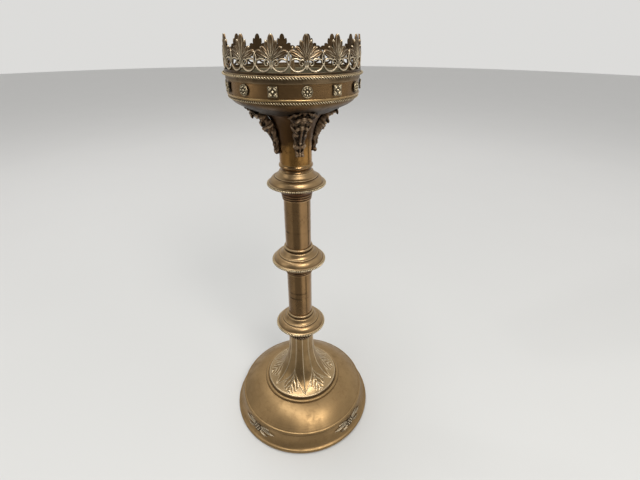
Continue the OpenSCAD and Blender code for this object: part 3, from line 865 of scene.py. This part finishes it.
def make_crown():
    half_unit = math.pi * CROWN_R / UNITS
    palmette = Casting(strokes_field(crown_strokes()), (-half_unit, half_unit),
                       (-0.4, TIP_Z - RAIL_Z - RAIL_H + 0.2), 2 * half_unit / 130)
    shape = Shape()
    draw = random.Random(5)
    rail_top = RAIL_Z + RAIL_H
    for i in range(UNITS):
        lean, roll = draw.uniform(-0.5, 0.6), draw.uniform(-0.05, 0.05)

        def place(x, z, h):
            """The plate leans in a little towards its tips, and each palmette is bent its own way."""
            window = np.cos(np.clip(x / half_unit, -1, 1) * np.pi / 2)**2
            up = unit(z / (TIP_Z - rail_top))
            face = np.where(h > -PLATE / 2, h + FACE_LIFT, h)
            r = CROWN_R + face - 0.9 * up**2 + window * (lean * up**2 + roll * x * up)
            turn = np.radians(CROWN_TURN + i * 360 / UNITS) + x / CROWN_R
            return turned(r, turn, np.minimum(rail_top + z, TIP_Z))

        palmette.put(shape, place, -PLATE / 2)
    rail = even(chain(
        line([CROWN_R - 0.9, RAIL_Z], [CROWN_R + 0.75, RAIL_Z], [CROWN_R + 0.9, RAIL_Z + 0.3]),
        arc(CROWN_R + 0.3, RAIL_Z + 1.3, 0.6, 0, 90, 6),
        line([CROWN_R - 0.8, rail_top], [CROWN_R - 0.9, rail_top - 0.2])), 0.4)
    shape.grid(spun(rail, 256), 0.42 * turning(rail))
    shape.make("crown_gallery_cast", "crown_gallery", "crown_brass", CROWN_BRASS, sharp=50)


# ---- Rosettes ----

def petals(p, count, reach, first=0.0):
    """Height and relief of a flower with count petals."""
    r = np.hypot(*p.T)
    turn = np.arctan2(p[:, 1], p[:, 0]) - first
    lobe = abs(np.cos(turn * count / 2))
    ring = bump(r, 0.62 * reach, 0.2 * reach) * lobe**1.6
    boss = bump(r, 0, 0.24 * reach)
    moat = bump(r, 0.34 * reach, 0.09 * reach)
    return 0.95 * ring + 1.1 * boss - 0.25 * moat, 0.15 + 0.95 * np.maximum(ring, boss) - 0.3 * moat


def round_field(p):
    r = np.hypot(*p.T)
    turn = np.arctan2(p[:, 1], p[:, 0])
    edge = 4.3 + 0.16 * np.cos(8 * turn)
    height, relief = petals(p, 8, 4)
    rim = bump(r, 3.85, 0.3)
    depth = edge - r
    height = np.maximum(height, 0.6 * rim) - edge_drop(depth)
    return depth, height, np.maximum(relief, 0.8 * rim)


def square_field(p):
    x, z = abs(p.T)
    depth = 4.0 - np.maximum(x, z) - 0.35 * bump(np.minimum(x, z), 0, 0.8)
    height, relief = petals(p, 4, 4.4, np.pi / 4)
    corner = bump(np.hypot(x - 2.95, z - 2.95), 0, 0.85)
    vein = bump(abs(x - z), 0, 0.3) * (np.hypot(x, z) > 1.6)
    height = np.maximum(height, 0.95 * corner) - 0.25 * vein - edge_drop(depth)
    return depth, height, np.maximum(relief, corner) - 0.35 * vein


def make_rosettes():
    round_one = Casting(round_field, (-4.6, 4.6), (-4.6, 4.6), 0.21)
    square_one = Casting(square_field, (-4.2, 4.2), (-4.2, 4.2), 0.2)
    for k in range(UNITS):
        kind, casting = ("round", round_one) if k % 2 == 0 else ("square", square_one)
        node = f"{kind}_rosette_{k // 2 + 1}"
        place = facing(math.radians(CROWN_TURN + k * 360 / UNITS))
        centre_z, back = middle(node), BAND_R + 1.2
        shape = Shape()
        casting.put(shape, lambda x, z, h: place(back + h, x, centre_z + z), 0)
        shape.make(node + "_cast", node, "crown_brass", ROSETTE_BRASS, sharp=60)


# ---- Brackets under the pan ----

def resample(path, n):
    """n points at equal distances along a path."""
    s = distances(path)
    t = np.linspace(0, s[-1], n)
    return np.column_stack([np.interp(t, s, path[:, k]) for k in range(path.shape[1])])


# The outer edge of a bracket, as radius and height from the pan's underside, and its half-widths.
BRACKET_FRONT = [(15.8, -39), (19, -36.9), (20.6, -33), (21.7, -27.5), (25.2, -21), (29, -16.2),
                 (31.1, -11), (32.2, -7.6), (36, -5.6), (38.7, -1.2), (41.4, 1.2), (44.3, 3.5)]
BRACKET_HALF = [2.4, 4.6, 6.0, 5.4, 6.6, 6.8, 9.6, 8.4, 11.0, 13.5, 11.5, 6.5]


def bracket_leaf(shape, place, draw):
    """The long leaf of a bracket, which follows its outline and closes on the bell behind."""
    n, m, m_behind = 150, 33, 7
    berry_count, long, wide = 46, 62, 7.5
    front = resample(smooth_path(BRACKET_FRONT, 120) + [0, PAN_Z], n)
    bell = capital_path()
    behind = chain(beside(bell[bell[:, 1] > PAN_Z - 40.5], -0.15), line([30.1, PAN_Z - 0.4]),
                   bowl_path()[bowl_path()[:, 0] < 44.2] + [0.1, -0.3])
    behind = resample(behind, n)
    u = np.linspace(0, 1, n)[:, None]
    v = np.linspace(-1, 1, m)[None, :]
    outward = rightward(front)
    half = np.interp(u, np.linspace(0, 1, len(BRACKET_HALF)), BRACKET_HALF)
    fingers = 8 * u + 0.25 * np.sin(11 * u) - 1.1 * abs(v)
    half = half * (0.8 + 0.2 * abs(np.sin(np.pi * (8 * u + 0.25 * np.sin(11 * u) - 1.1))))
    finger = abs(np.sin(np.pi * fingers))
    rib = bump(v, 0, 0.13)
    channel = bump(abs(v), 0.3, 0.13)
    berries = np.zeros((n, m))
    for _ in range(berry_count):
        at_u, at_v, size = draw.uniform(0, 1), draw.uniform(0.1, 0.95), draw.uniform(0.7, 1.15)
        gap = np.hypot((u - at_u) * long / size, (abs(v) - at_v) * wide / size)
        berries = np.maximum(berries, np.sqrt(unit(1 - (gap / 1.5)**2)) * size)
    height = 0.55 * finger * unit(abs(v) * 1.6) + 0.8 * rib - 0.7 * channel + 1.25 * berries - 0.9
    drop = 0.62 * abs(v)**2.4
    r, z = (np.hstack([f + (b - f) * drop + o * height, np.broadcast_to(b, (n, m_behind))])
            for f, b, o in zip(*(path.T[..., None] for path in (front, behind, outward))))
    x = np.hstack([half * v, half * np.linspace(0.9, -0.9, m_behind)])
    relief = 0.08 + 0.3 * finger * (0.4 + 0.6 * abs(v)) + 0.4 * rib - 0.3 * channel + 0.55 * berries
    relief = np.hstack([np.maximum(relief, 0.4 * (abs(v) > 0.8)), np.full((n, m_behind), 0.4)])
    shape.grid(place(r, x, z), relief, caps=True)


def rolled_tip(shape, place, r, z, radius, half):
    """A leaf tip that curls over: a ribbed roll across the bracket."""
    n, m = 26, 24
    x = np.linspace(-half, half, n)[:, None]
    phi = around(m)[None, :]
    ribs = abs(np.cos(x / half * np.pi * 1.5))
    girth = radius * np.sqrt(np.clip(1 - (abs(x) / half)**3, 0.02, 1)) * (0.78 + 0.22 * ribs)
    droop = -0.05 * x**2
    shape.grid(place(r + girth * np.cos(phi), x + 0 * phi, PAN_Z + z + droop + girth * np.sin(phi)),
               0.2 + 0.6 * ribs, caps=True)


def make_brackets():
    draw = random.Random(11)
    for i, side in enumerate(("front", "right", "back", "left")):
        place = facing(math.radians(BRACKET_TURN + 90 * i))
        shape = Shape()
        bracket_leaf(shape, place, draw)
        for r, z, radius, half in ((18.4, -37, 2.1, 4.2), (30.4, -10.6, 1.9, 6.4), (38.4, -1.6, 1.9, 8.2)):
            rolled_tip(shape, place, r, z, radius, half)
        shape.make(side + "_bracket_cast", side + "_bracket", "dark_bronze", DARK_BRONZE, sharp=70)


# ---- Foot mounts ----

def mount_leaf(s, t):
    """An arm of the mount: two long ribs with a groove between, notched along its edges."""
    rib = bump(abs(s), 0.42, 0.22)
    notch = abs(np.sin(np.pi * (4 * t - 0.4 * abs(s)))) * unit(abs(s) - 0.5) * 2
    return 0.55 + 0.75 * rib + 0.35 * notch, 0.08 + 0.9 * np.maximum(rib, 0.6 * notch)


def mount_field(p):
    """A flower between two leaf arms; x is around the foot and z up its band."""
    strokes = []
    for mirror in (False, True):
        strokes += [
            Stroke([(3, 0.4), (8, 1.4), (14, 0.9), (19, 0.1), (24.3, 0.4)], [2.2, 2.7, 2.3, 1.8, 0.5],
                   mount_leaf, mirror),
            Stroke([(4.5, 2.4), (8, 4.4), (12.5, 5.4), (17, 5)], [1.3, 1.5, 1.3, 0.5], mount_leaf, mirror),
            Stroke([(5, -2), (8.5, -4), (12, -4.9), (16, -4.7)], [1.3, 1.5, 1.2, 0.5], mount_leaf, mirror)]
    depth, height, relief = strokes_field(strokes)(p)
    r = np.hypot(*p.T)
    flower, flower_relief = petals(p, 6, 5.4)
    inside = 5.6 + 0.4 * np.cos(6 * np.arctan2(p[:, 1], p[:, 0])) - r
    flower = 0.9 + 1.1 * flower - edge_drop(inside)
    chosen = inside > 0
    return (np.maximum(depth, inside), np.where(chosen, flower, height),
            np.where(chosen, flower_relief, relief))


def make_foot_mounts():
    casting = Casting(mount_field, (-24.6, 24.6), (-7.4, 7.4), 0.3)
    band = beside(even(band_path(), 0.3), -0.05)
    s, outward = distances(band), rightward(band)
    centre = 9
    for i, name in enumerate(("front_right", "back_right", "back_left", "front_left")):
        first = math.radians(45 + 90 * i)

        def place(x, z, h):
            at = centre + z
            r = np.interp(at, s, band[:, 0]) + h * np.interp(at, s, outward[:, 0])
            up = np.interp(at, s, band[:, 1]) + h * np.interp(at, s, outward[:, 1])
            return turned(r, first + x / (STEP_R + 2), up)

        shape = Shape()
        casting.put(shape, place, 0.0)
        shape.make(name + "_foot_mount_cast", name + "_foot_mount", "trim_brass", MOUNT_BRASS, sharp=60)


# ---- Pricket ----

def make_pricket():
    z = low("pricket")
    tip = high("pricket") - z
    path = chain(
        line([4.05, 0], [12, 0]), arc(11.2, 1.6, 1.2, -30, 70),
        curve([10.6, 2.9], [7.6, 3.4], [7, 5], [6.8, 13.5]), arc(5.8, 13.6, 1, 10, 80),
        line([3.2, 15], [0.5, tip - 0.5], [0.05, tip], [0.05, 12.5], [4.05, 12.5]))
    lathe("pricket_turned", path + [0, z], "pricket", "trim_brass", TRIM_BRASS, rounds=96, body="pricket")
    bottom, top = low("pricket_washer"), high("pricket_washer")
    lathe("pricket_washer_turned", chain(
        line([ROD_HOLE, bottom], [15.8, bottom], [16, bottom + 0.2], [16, top - 0.3], [15.7, top],
             [ROD_HOLE, top])), "pricket_washer", "trim_brass", TRIM_BRASS, rounds=96, step=0.8,
        body="turning_washer")


def finish_cad_nodes():
    """Materials for the CAD nodes that stay as they are."""
    for name, material in (("tie_rod", STEEL), ("clamp_plate", STEEL), ("tie_washer", STEEL),
                           ("tie_nut", STEEL), ("rosette_studs", DARK_BRONZE)):
        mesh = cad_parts[name].data
        mesh.materials.clear()
        mesh.materials.append(material)


# ---- Stage, light and camera ----

def disc(name, radius, z, material):
    """A flat round piece of the stage, centred under the object."""
    bpy.ops.mesh.primitive_circle_add(vertices=96, radius=radius, fill_type="NGON", location=(0, 0, z))
    piece = bpy.context.object
    piece.name = name
    piece.data.materials.append(material)
    return piece


def make_floor():
    material, n = new_material("pale_floor")
    place = n.add("TexCoord").outputs["Object"]
    reach = n.length(place)
    grain = n.noise(place, 6, 3, 0.5)
    # Painted shade: the floor is darker towards the middle, around the stand, and pales out by 1.6 m.
    tone = n.mix(n.span(reach, 0.1, 1.6), rgb(0.58, 0.585, 0.58), rgb(0.86, 0.86, 0.855))
    tone = n.mix(n.times(grain, 0.06), tone, rgb(0.45, 0.45, 0.45))
    surface = n.add("BsdfPrincipled", {"Base Color": tone, "Roughness": 0.6})
    n.add("OutputMaterial", {"Surface": surface.outputs[0]})
    disc("floor", 6, -0.0002, material)


def make_dark_card():
    """A dark card on the floor that only shows in reflections, like the dim side of a room."""
    material, n = new_material("dark_card")
    place = n.add("TexCoord").outputs["Object"]
    axes = n.add("SeparateXYZ", {0: place}).outputs
    turn = n.math("ARCTAN2", axes[0], n.times(axes[1], -1))
    reach = n.length(place)

    def sector(start, end, soft, strength):
        """How dark the card is around one range of turns."""
        start, end, soft = (math.radians(a) for a in (start, end, soft))
        inside = n.times(n.span(turn, start - soft, start), n.span(turn, end + soft, end))
        return n.times(inside, strength)

    cover = n.math("MAXIMUM", sector(-112, -52, 26, 0.5), sector(-38, 6, 28, 0.74))
    near = n.times(sector(58, 66, 7, 0.7), n.span(reach, 0.4, 0.32))
    far = n.times(sector(98, 106, 8, 0.7), n.span(reach, 0.32, 0.4))
    cover = n.times(n.plus(cover, n.plus(near, far)), n.span(reach, 0.1, 0.2))
    black = n.add("BsdfDiffuse", {"Color": rgb(0.02, 0.018, 0.015)})
    mixed = n.add("MixShader", {0: cover, 1: n.add("BsdfTransparent").outputs[0], 2: black.outputs[0]})
    n.add("OutputMaterial", {"Surface": mixed.outputs[0]})
    card = disc("dark_card", 2.5, 0.0004, material)
    card.visible_camera = card.visible_diffuse = card.visible_shadow = False


def make_world():
    world = bpy.data.worlds.new("studio")
    bpy.context.scene.world = world
    world.use_nodes = True
    n = Nodes(world.node_tree)
    direction = n.add("TexCoord").outputs["Generated"]
    axes = n.add("SeparateXYZ", {0: direction}).outputs
    back = n.span(n.plus(axes[1], n.times(axes[0], 0.4)), -0.8, 0.5)
    tone = n.mix(back, rgb(0.17, 0.165, 0.16), rgb(0.72, 0.715, 0.7))
    background = n.add("Background", {"Color": tone, "Strength": 1.0})
    n.add("OutputWorld", {"Surface": background.outputs[0]})


def area_light(name, place, target, size, watts, colour=(1, 1, 1)):
    data = bpy.data.lights.new(name, "AREA")
    data.shape = "RECTANGLE"
    data.size, data.size_y = size
    data.energy = watts
    data.color = colour
    light = bpy.data.objects.new(name, data)
    bpy.context.collection.objects.link(light)
    light.location = place
    light.rotation_euler = (Vector(target) - Vector(place)).to_track_quat("-Z", "Y").to_euler()


def make_lights():
    area_light("key", (0.33, -0.78, 1.22), (0, 0, 0.25), (0.5, 0.5), 10, (1, 0.96, 0.9))
    area_light("top", (-0.2, 0.0, 1.7), (0, 0, 0.2), (1.2, 0.6), 14)
    area_light("left_fill", (-1.1, -0.35, 0.7), (0, 0, 0.25), (0.5, 0.9), 1.7, (1, 0.97, 0.92))
    bpy.context.scene.view_settings.view_transform = "Standard"


def make_camera():
    data = bpy.data.cameras.new("camera")
    data.sensor_width = 36
    data.lens = 20.53
    data.clip_start = 0.01
    camera = bpy.data.objects.new("camera", data)
    bpy.context.collection.objects.link(camera)
    bpy.context.scene.camera = camera
    pitch, yaw, roll = (math.radians(a) for a in (29.486, 3.902, 0.141))
    forward = Vector((math.sin(yaw) * math.cos(pitch), math.cos(yaw) * math.cos(pitch), -math.sin(pitch)))
    right = Vector((math.cos(yaw), -math.sin(yaw), 0))
    up = right.cross(forward)
    right, up = (math.cos(roll) * right + math.sin(roll) * up, -math.sin(roll) * right + math.cos(roll) * up)
    rotation = Matrix((right, up, -forward)).transposed()
    camera.matrix_world = Matrix.Translation((0, -0.34346, TIP_Z * MM)) @ rotation.to_4x4()


make_camera()
make_world()
make_lights()
make_floor()
make_dark_card()
make_base()
make_foot_mounts()
make_trumpet()
make_stem()
make_brackets()
make_pan()
make_crown()
make_rosettes()
make_pricket()
finish_cad_nodes()

bpy.context.view_layer.update()
